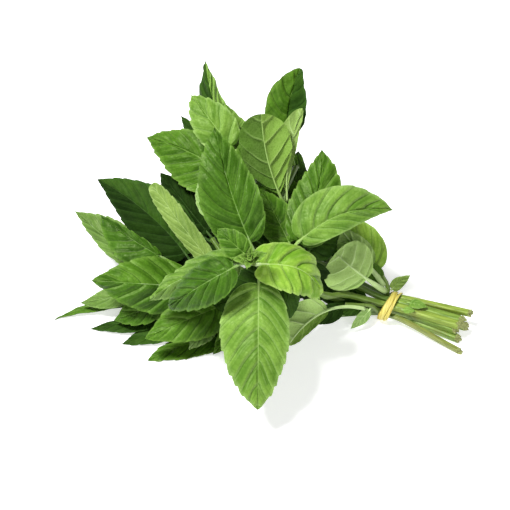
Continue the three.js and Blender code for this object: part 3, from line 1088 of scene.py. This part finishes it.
def front_sprig() -> Sprig:
    """The open growing tip that faces the front, over the leaves that hang and stand round it.

    Returns:
        The sprig.
    """
    nodes = [(51, 7, 13.5), (40, 6.5, 18.5), (31, 0, 25.5), (16, -8, 46), (-2, -11, 62), (-5, -17, 71),
             (-6, -21, 78)]
    leaves = [
        Leaf("down", 4, (-2.7, -62.1, 19.1), 33, (0, -0.6, 0.8), (7, 7), fold=-4, petiole=0.1,
             tone=Tone.FRESH, halves=(1.06, 0.85), taper=0.88),
        Leaf("tall", 4, (-23, 44, 96), 28, (0.1, -0.5, 0.8), (1, 3), 3, 12, -14, 0.14, Tone.RICH,
             halves=(0.87, 1.12)),
        Leaf("right", 5, (26, -20, 48), 24, (0.3, -0.35, 0.9), (10, 10), 6, -6, -22, 0.03, Tone.BRIGHT,
             heart=0.3, halves=(0.95, 1), quilt=1.6, taper=0.85),
        # its halves' two tones paint one half lit and the other in shade
        Leaf("left_long", 5, (-54, -13, 38), 20, (-0.2, -0.3, 0.9), (3, 3), -5, -20, tone=Tone.GREY,
             right_tone=Tone.FRESH, halves=(1.1, 1), quilt=1.3),
        Leaf("left_low", 6, (-45, -21, 42), 20, (-0.1, -0.5, 0.85), (7, 6), fold=-10, petiole=0.12,
             quilt=1.5, tone=Tone.RICH),
        Leaf("left_shade", 3, (-24, -2, 20), 26, (-0.1, -0.5, 0.85), tone=Tone.DEEP, spare=True),
        Leaf("right_shade", 3, (5, -8, 12), 12, (0.1, -0.5, 0.85), tone=Tone.DEEP, spare=True),
        Leaf("small", 6, (-21, -8, 84), 12, (-0.1, -0.6, 0.8), (1, 1), petiole=0.06, young=True),
        Leaf("edge", 5, (-31.5, 40, 62), 6, (-0.3, -0.6, 0.8), (2, 2), tone=Tone.PALE, spare=True,
             base=(-26, 20, 59), teeth=2),
    ]
    return Sprig("front", (33, -4.6, 9.6), (-2.5, 9.95), nodes, leaves, bud=1.45, tone=StemTone.YELLOW)


def right_sprig() -> Sprig:
    """The leaves that reach out to the right, and the spare ones that close the middle.

    Returns:
        The sprig.
    """
    nodes = [(45, 13, 18), (32, 14, 30), (20, 8, 44), (14, 5, 53), (13, 4, 57)]
    leaves = [
        Leaf("long", 4, (61.8, 24.3, 60.3), 22, (0.1, -0.55, 0.8), (7, 6), 8, petiole=0.06, tone=Tone.FRESH,
             halves=(0.75, 1.3), teeth=0.3),
        Leaf("up", 3, (28, 50, 75), 22, (0, -0.6, 0.8), (0, 0), -5, petiole=0.06, halves=(1.25, 1.05)),
        Leaf("middle", 3, (0, 40, 56), 18, (0, -0.6, 0.8), (2, 2)),
        Leaf("under", 2, (36, 34, 40.5), 19, (0.3, -0.6, 0.7), (0, 0), tone=Tone.DEEP, teeth=0.4),
        Leaf("under_up", 2, (14, 55, 50), 22, (0.1, -0.6, 0.8), tone=Tone.DEEP, spare=True),
        Leaf("inner", 2, (28, 7, 11), 18, (0.1, -0.6, 0.8), tone=Tone.NIGHT, spare=True),
        Leaf("between", 2, (-4, 32, 36), 20, (0.1, -0.6, 0.8), tone=Tone.DEEP, spare=True),
        Leaf("pit", 2, (-18, 17, 45), 16, (0.1, -0.6, 0.8), tone=Tone.DEEP, spare=True),
    ]
    return Sprig("right", (33.5, -1.2, 9.4), (0.9, 10.1), nodes, leaves)


def up_sprig() -> Sprig:
    """The cupped crown and the leaf that shows its underside, with what stands behind them.

    Returns:
        The sprig.
    """
    nodes = [(40, 20, 18), (33, 22, 25), (24, 24, 34), (13, 31, 47), (10, 37, 53), (16, 54, 59)]
    leaves = [
        Leaf("underside", 4, (-1, 59, 90), 24, (-0.1, 0.75, -0.6), (-3, -1), -3, 15, tone=Tone.FRESH,
             teeth=0.3, right_tone=Tone.GREEN, halves=(1, 1.1), taper=0.5, shoulder=0.9),
        # its right half's dark tone paints the shade inside its cup
        Leaf("crown", 5, (18, 90, 90), 23, (-0.1, -0.6, 0.8), (-4, -3), 6, 22, 14, 0.3, teeth=0.3,
             halves=(1.1, 1.1), lift=(12, 0), right_tone=Tone.DEEP, taper=0.75, shoulder=0.45),
        Leaf("sheath", 4, (19, 68.5, 84), 12, (-0.2, 0.75, -0.6), (-1, 0), -4, 10, tone=Tone.SOFT, teeth=0,
             taper=0.6, shoulder=0.9, halves=(1.1, 0.5)),
        Leaf("shadow", 2, (15, 66, 58), 12, (0.4, -0.6, 0.6), (-4, -3), halves=(0.5, 1.1)),
        Leaf("lining", 3, (-0.5, 61, 50), 22, (-0.1, -0.6, 0.8), spare=True),
        Leaf("flank", 3, (17.5, 72, 51), 13, (0.1, -0.6, 0.8), tone=Tone.RICH, teeth=0.3, spare=True),
        Leaf("backing", 0, (16, 46, 6), 30, (0, -0.3, 0.9), tone=Tone.DEEP, spare=True),
        Leaf("back", 1, (34, 76, 0.4), 26, (0.2, 0.5, 0.8), (10, 8)),
    ]
    return Sprig("up", (31, 2.3, 6.1), (5.3, 6.55), nodes, leaves)


def back_sprig() -> Sprig:
    """The leaves that stand up highest at the back.

    Returns:
        The sprig.
    """
    nodes = [(44, 14, 5.5), (36, 16, 11), (20, 20, 26), (8, 25, 38), (-1, 30, 46), (-9, 45, 56),
             (-12, 59, 64)]
    leaves = [
        Leaf("light", 6, (-35.5, 86, 76), 20, (-0.1, -0.5, 0.85), (4, 4), tone=Tone.FRESH),
        # one half is painted dark as shade, the other bright as the lit side
        Leaf("spire", 5, (-29, 110.2, 75.6), 24, (-0.1, -0.6, 0.8), (-2, -2), 4, -38, 0, tone=Tone.DEEP,
             teeth=0, right_tone=Tone.FRESH, halves=(0.8, 1.4)),
        Leaf("fin", 6, (-20, 86, 70), 13, (0.4, -0.5, 0.7), (-1, 0), fold=8, tone=Tone.FRESH,
             halves=(1.6, 1)),
        Leaf("behind_fin", 5, (-5, 66, 72), 16, (0.2, -0.5, 0.7), (-1, 0), spare=True),
        Leaf("outer", 5, (-57.5, 75, 57), 27, (-0.2, -0.5, 0.85), (1, 3), -4, halves=(0.92, 1.2)),
        Leaf("dark", 4, (-42, 101.5, 46), 18, (-0.2, -0.4, 0.9), (-2, 0), tone=Tone.DEEP),
        Leaf("floor", 3, (-20, 92, 12), 24, (-0.2, 0.4, 0.8), (8, 6)),
    ]
    return Sprig("back", (29, 1, 2.4), (1.7, 3.05), nodes, leaves)


def upper_left_sprig() -> Sprig:
    """Leaves painted dark for the shade between the left sprig and the back one.

    Returns:
        The sprig.
    """
    nodes = [(44, 9.7, 9), (30, 10, 13), (-2, 9, 28), (-16, 15, 33), (-25, 27, 36)]
    leaves = [
        Leaf("shade", 4, (-51, 65, 42), 19, (-0.2, -0.5, 0.85), (4, 3), tone=Tone.NIGHT),
        Leaf("deep", 3, (-34, 56, 14), 20, (-0.1, 0.2, 0.9), (0, 1), tone=Tone.NIGHT),
        Leaf("gap", 4, (-60, 62, 28), 22, (-0.1, -0.4, 0.9), tone=Tone.NIGHT, spare=True),
        Leaf("gap_low", 3, (-52, 40, 18), 24, (-0.1, -0.4, 0.9), tone=Tone.NIGHT, spare=True),
    ]
    return Sprig("upper_left", (35.5, -1.6, 6), (1.7, 6.55), nodes, leaves)


def left_sprig() -> Sprig:
    """The broad, the grey and the leaves painted dark for their shade, which end the bunch on the left.

    Returns:
        The sprig.
    """
    nodes = [(44, 5.2, 7.5), (28, 4, 10), (-4, 5, 15), (-14, 6, 17), (-30, 10, 22), (-44, 17, 26),
             (-58, 17, 22)]
    leaves = [
        Leaf("strip", 3, (-54.5, 49, 51.5), 10.5, (-0.3, -0.6, 0.7), (3, 3), 0, 10, petiole=0.24,
             tone=Tone.SOFT, quilt=0.5, teeth=1.4, taper=0.3, shoulder=0.3),
        # both halves are painted dark as shade, the lower half deeper
        Leaf("dark_upper", 4, (-82, 58, 45), 22.6, (-0.2, -0.5, 0.85), (3, 2), -7, petiole=0.2,
             tone=Tone.NIGHT, right_tone=Tone.DEEP, teeth=0.5, quilt=0.6, halves=(1.28, 1.15)),
        Leaf("dark_inner", 5, (-58, 60, 1), 24, (-0.3, 0.2, 0.9), (2, 3), tone=Tone.NIGHT),
        Leaf("pale_edge", 6, (-94, 52, 28), 14, (-0.5, -0.4, 0.75), (1, 1), 0, 0, 0, tone=Tone.GREY,
             halves=(1.6, 0.88), taper=1.1),
        Leaf("grey", 5, (-80, 44, 34), 20, (-0.1, -0.5, 0.85), (6, 5), 2, petiole=0.16, tone=Tone.RICH,
             halves=(0.3, 1.15)),
        # its halves' two tones paint one half lit and the other in shade
        Leaf("broad", 4, (-82.6, 5.6, 30), 22.6, (-0.1, -0.6, 0.8), (4, 10), fold=-18, halves=(1.28, 1.32),
             teeth=0.6, tone=Tone.RICH, right_tone=Tone.GREEN),
        Leaf("glossy", 3, (-57, -19, 16), 23, (-0.1, -0.6, 0.8), (7, 8), fold=-6, teeth=0.6, quilt=0.7),
        Leaf("pale_tip", 6, (-90, 11, 6), 12, (0, -0.5, 0.85), (0, 1), 4, 0, 0, tone=Tone.GREY, teeth=0.4),
        Leaf("blunt", 5, (-73, -0.5, 7), 17, (0, -0.4, 0.85), (0, 1), 7, 0, 0, tone=Tone.RICH,
             halves=(1.4, 1)),
        Leaf("fore", 2, (-24, -18, 2.5), 13, (0, -0.8, 0.5), (-3, -2)),
    ]
    return Sprig("left", (31.5, -5, 6), (-1.9, 6.55), nodes, leaves)


def low_sprig() -> Sprig:
    """The sprig that lies on the table, below all others.

    Returns:
        The sprig.
    """
    nodes = [(28, 5, 3), (-8, -3, 3), (-24, -1, 4), (-34, 2, 5), (-44, 7, 6), (-56, 13, 9)]
    leaves = [
        Leaf("floor", 1, (-56, -20, 0.4), 15, (-0.1, 0, 1), (-1.4, -0.6), -5, 2, 0,
             halves=(0.75, 1.2), taper=0.75),
        Leaf("pale_under", 2, (-36, -17, 5), 9, (0, -0.3, 0.9), (4, 4), fold=4, curl=0, tone=Tone.PALE),
        Leaf("dark_low", 3, (-69, -10.2, 0.4), 11, (0, 0, 1), (0.5, 0.3), fold=0, curl=0, tone=Tone.DEEP,
             halves=(1.3, 1.1)),
        Leaf("dark_tip", 4, (-85, -1, 0.4), 12, (0, 0, 1), (0, 0), fold=0, curl=0, tone=Tone.DEEP,
             halves=(0.5, 1.2), teeth=0.4),
        Leaf("spear", 5, (-103, 5, 0.4), 8, (0, 0.2, 0.9), (-1, 0), -5, 0, 0, teeth=0),
    ]
    return Sprig("low", (33.5, -7, 2.6), (-1.9, 3.05), nodes, leaves)


def near_sprig() -> Sprig:
    """The pale undersides that stand up by the band.

    Returns:
        The sprig.
    """
    nodes = [(61.5, 14, 12.8), (60.5, 16, 15.8), (58.5, 18, 19)]
    leaves = [
        Leaf("pale_left", 0, (34.5, 14.2, 40), 25, (0.1, 0.6, -0.6), (-7, -4), 0, 2, 0, 0.44,
             tone=Tone.PALE, taper=0.4, halves=(1.15, 1), stalk=2, keel=1.1, teeth=0.3),
        Leaf("pale_up", 1, (36.4, 29, 43), 20, (0.1, 0.7, -0.5), (-4.4, -2), 1, 4, 0, 0.34, tone=Tone.PALE,
             halves=(1, 0.65), stalk=2, keel=1.1, teeth=0.4),
        Leaf("green", 2, (36.4, 32.5, 42.3), 19, (0.1, -0.6, 0.8), (0, 1), -4, petiole=0.1,
             tone=Tone.BRIGHT, teeth=0.3, stalk=1.8, halves=(1.05, 1), taper=0.8, shoulder=0.6),
        Leaf("lining", 1, (48, 21.5, 28), 9, (0.1, -0.6, 0.8), (0, 0), teeth=0,
             spare=True),
        Leaf("sprout", 0, (72, 17, 20), 6.5, (0.4, -0.6, 0.6), (-2, -1), petiole=0.02, tone=Tone.SOFT,
             teeth=0, shoulder=0.45, young=True),
        Leaf("nub", 0, (80, 2.5, 13.5), 5, (0, -0.3, 0.9), (1, 1), tone=Tone.FRESH, teeth=0, spare=True,
             base=(71, 6, 12.4)),
        Leaf("nub_low", 0, (74, 0.5, 13), 3.5, (0, -0.3, 0.9), (0.5, 0.5), tone=Tone.FRESH, teeth=0,
             spare=True, base=(68, 2, 12)),
    ]
    return Sprig("near", (36.5, 4, 9.8), (4.2, 9.7), nodes, leaves, thinness=0.85, tone=StemTone.YELLOW)


def hanging_sprig() -> Sprig:
    """The thin, worn sprig whose folded leaf hangs to the front.

    Returns:
        The sprig.
    """
    nodes = [(53, 4.2, 12), (49, 4.1, 12.9), (40, 3.5, 14.5)]
    leaves = [
        Leaf("folded", 1, (12, -17, 8.5), 17, (-0.2, 0.6, -0.8), (-7, -7), 10, 4, petiole=0.43,
             tone=Tone.PALE, halves=(0.52, 1.25), right_tone=Tone.FRESH, taper=0.5, teeth=0.3, stalk=1.5,
             keel=1.5),
        Leaf("shade", 2, (23, -2, 6), 10, (0.6, -0.6, 0.6), (-1, -1), petiole=0.1, tone=Tone.NIGHT,
             teeth=0.3),
        Leaf("drop", 0, (43, -3, 3.2), 6.4, (0.4, -0.7, 0.5), (1, 1), petiole=0.04, tone=Tone.PALE, teeth=0,
             quilt=0.3),
        Leaf("notched", 1, (36, 2.5, 9.5), 7, (0.4, -0.8, 0.5), (-1, 0), petiole=0.1, tone=Tone.DEEP,
             spare=True),
        Leaf("behind_stems", 0, (24, 19, 9), 14, (0.1, -0.6, 0.8), tone=Tone.DEEP, spare=True),
    ]
    return Sprig("hanging", (35.5, -13.6, 1.75), (-5.9, 6.3), nodes, leaves, thinness=0.7,
                 tone=StemTone.BROWN)


def sprigs() -> list[Sprig]:
    """The bunch's nine sprigs."""
    return [
        front_sprig(), right_sprig(), up_sprig(), back_sprig(), upper_left_sprig(),
        left_sprig(), low_sprig(), near_sprig(), hanging_sprig(),
    ]


@dataclass
class RubberBand:
    """The yellow band: a wide turn and a narrow one that crosses it."""

    centre_height: float = 6.6
    half_width: float = 8.4  # outside, across the bundle
    half_height: float = 6.5
    wall: float = 0.9
    finish: RubberFinish = field(default_factory=RubberFinish)

    STEPS = 96  # faces round a turn
    CUTS = 3  # cuts across it
    CROWN = 0.25  # how far its middle stands out of its edges
    UNEVEN = 0.18
    WANDER = 0.3  # how far it strays along the stems
    FLOOR = 0.05  # the least height of its inside

    def turn(self, width: float, tilt: float, along: float, swell: float) -> Mesh:
        """One turn of the band.

        Args:
            width: Along the stems.
            tilt: Degrees that it leans along them.
            along: How far it lies from the band's middle, towards the cuts.
            swell: How far it lies outside the plain oval.

        Returns:
            The closed mesh.
        """
        bm = bmesh.new()
        corners = [bm.verts.new((1, 0, z)) for z in (-0.5, 0.5)]
        start = [bm.edges.new(corners), *corners]
        bmesh.ops.spin(bm, geom=start, axis=UP, angle=math.tau, steps=self.STEPS, use_merge=True)
        crossing = [edge for edge in bm.edges if abs(edge.verts[0].co.z - edge.verts[1].co.z) > 0.5]
        bmesh.ops.subdivide_edges(bm, edges=crossing, cuts=self.CUTS)
        bmesh.ops.recalc_face_normals(bm, faces=bm.faces)
        lean = math.tan(math.radians(tilt))
        for vertex in bm.verts:
            angle = math.atan2(vertex.co.y, vertex.co.x)
            across = math.cos(angle) * (self.half_width + swell)
            height = math.sin(angle) * (self.half_height + swell)
            bulge = self.CROWN * (1 - (2 * vertex.co.z) ** 2)
            bulge += self.UNEVEN * noise.noise(Vector((across, height, tilt)) / 3)
            grown = 1 + bulge / self.half_width
            share = vertex.co.z * width + along + (height + across) * lean
            share += self.WANDER * math.sin(2 * angle + tilt)
            lifted = max(self.centre_height + height * grown, self.FLOOR)
            vertex.co = BUNDLE.point(share, across * grown, lifted) * MM
        bmesh.ops.solidify(bm, geom=bm.faces[:], thickness=self.wall * MM)
        return bm

    def build(self) -> Piece:
        """Both turns in one object."""
        wide = self.turn(2.8, tilt=12, along=-2.6, swell=-0.2)
        narrow = self.turn(1.1, tilt=14, along=-0.2, swell=-0.1)
        return finished("yellow_band", [wide, narrow], [self.finish.material()])


# ---------------------------------------------------------------- the bunch and its studio


@dataclass
class Bunch:
    """The whole tied bunch."""

    sprigs: list[Sprig] = field(default_factory=sprigs)
    band: RubberBand = field(default_factory=RubberBand)

    def settle(self, piece: Piece, node: str) -> None:
        """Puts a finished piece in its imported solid's stead.

        Args:
            piece: The piece.
            node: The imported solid's name, or nothing for a spare leaf.
        """
        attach(piece, "root")
        if node:
            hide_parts(node)
        log.info("%s: %d faces", piece.name, len(piece.data.polygons))

    def build(self) -> None:
        """Builds every stem, leaf and bud, and the band."""
        tones = {tone: tone.value.materials() for tone in Tone}
        skins = {tone: tone.value.materials() for tone in StemTone}
        for sprig in self.sprigs:
            self.settle(sprig.build_stem(skins[sprig.tone]), f"{sprig.name}_stem")
            for leaf in sprig.leaves:
                # the right half's own tone, which mostly paints that half's light or shade
                other = tones[leaf.right_tone][:2] if leaf.right_tone else []
                piece = sprig.build_leaf(leaf, tones[leaf.tone] + other)
                node = "" if leaf.spare else f"{sprig.name}_leaf_{leaf.name}"
                self.settle(piece, node)
            if sprig.bud:
                self.settle(sprig.build_bud(tones[Tone.FRESH]), f"{sprig.name}_bud")
        self.settle(self.band.build(), "rubber_band")


@dataclass
class Studio:
    """A pale table, soft light and the camera."""

    target: Triple = (-2.7, -10.6, 40)
    distance: float = 816
    elevation: float = 50
    lens: float = 120
    sensor: float = 36
    table_colour: Triple = (0.86, 0.86, 0.86)
    table_half: float = 3  # in metres
    table_glow: float = 0.55  # keeps the shadows on it faint
    surroundings: float = 0.2
    lit_height: float = 0.04  # the lamps look at a point this high, in metres

    def build_camera(self) -> None:
        """Looks down on the bunch from the front."""
        lift = math.radians(self.elevation)
        data = bpy.data.cameras.new("camera")
        data.lens = self.lens
        data.sensor_width = self.sensor
        camera = bpy.data.objects.new("camera", data)
        back = Vector((0, -math.cos(lift), math.sin(lift)))
        camera.location = (Vector(self.target) + back * self.distance) * MM
        camera.rotation_euler = (math.pi / 2 - lift, 0, 0)
        bpy.context.scene.collection.objects.link(camera)
        bpy.context.scene.camera = camera

    def build_table(self) -> None:
        """A wide, plain, pale table."""
        bm = bmesh.new()
        bmesh.ops.create_grid(bm, x_segments=1, y_segments=1, size=self.table_half)
        paint = Paint("pale_table")
        sockets = {"Base Color": (*self.table_colour, 1), "Roughness": 0.9, "Specular IOR Level": 0.1}
        sockets |= {"Emission Color": (1, 1, 1, 1), "Emission Strength": self.table_glow}
        table = finished("table", [bm], [paint.finish(paint.node("BsdfPrincipled", sockets).outputs[0])])

    def add_lamp(self, name: str, place: Triple, size: float, watts: float) -> None:
        """One square soft light that looks at the bunch.

        Args:
            name: The lamp's name.
            place: Its place, in metres.
            size: Its side, in metres.
            watts: Its power.
        """
        data = bpy.data.lights.new(name, "AREA")
        data.size = size
        data.energy = watts
        lamp = bpy.data.objects.new(name, data)
        lamp.location = place
        sight = UP * self.lit_height - Vector(place)
        lamp.rotation_euler = sight.to_track_quat("-Z", "Y").to_euler()
        bpy.context.scene.collection.objects.link(lamp)

    def build_light(self) -> None:
        """White surroundings, a large lamp overhead and a weak one in front."""
        scene = bpy.context.scene
        scene.view_settings.view_transform = "Standard"
        world = bpy.data.worlds.new("surroundings")
        world.use_nodes = True
        background = world.node_tree.nodes["Background"]
        background.inputs["Color"].default_value = (1, 1, 1, 1)
        background.inputs["Strength"].default_value = self.surroundings
        scene.world = world
        self.add_lamp("overhead", (-0.5, -0.1, 1.25), size=0.28, watts=27)
        self.add_lamp("front", (0.5, -1.2, 0.9), size=0.9, watts=8)


def main() -> None:
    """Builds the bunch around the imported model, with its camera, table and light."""
    logging.basicConfig(level=logging.INFO, format="%(name)s: %(message)s")
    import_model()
    studio = Studio()
    studio.build_camera()
    studio.build_table()
    studio.build_light()
    Bunch().build()


if __name__ == "__main__":
    main()
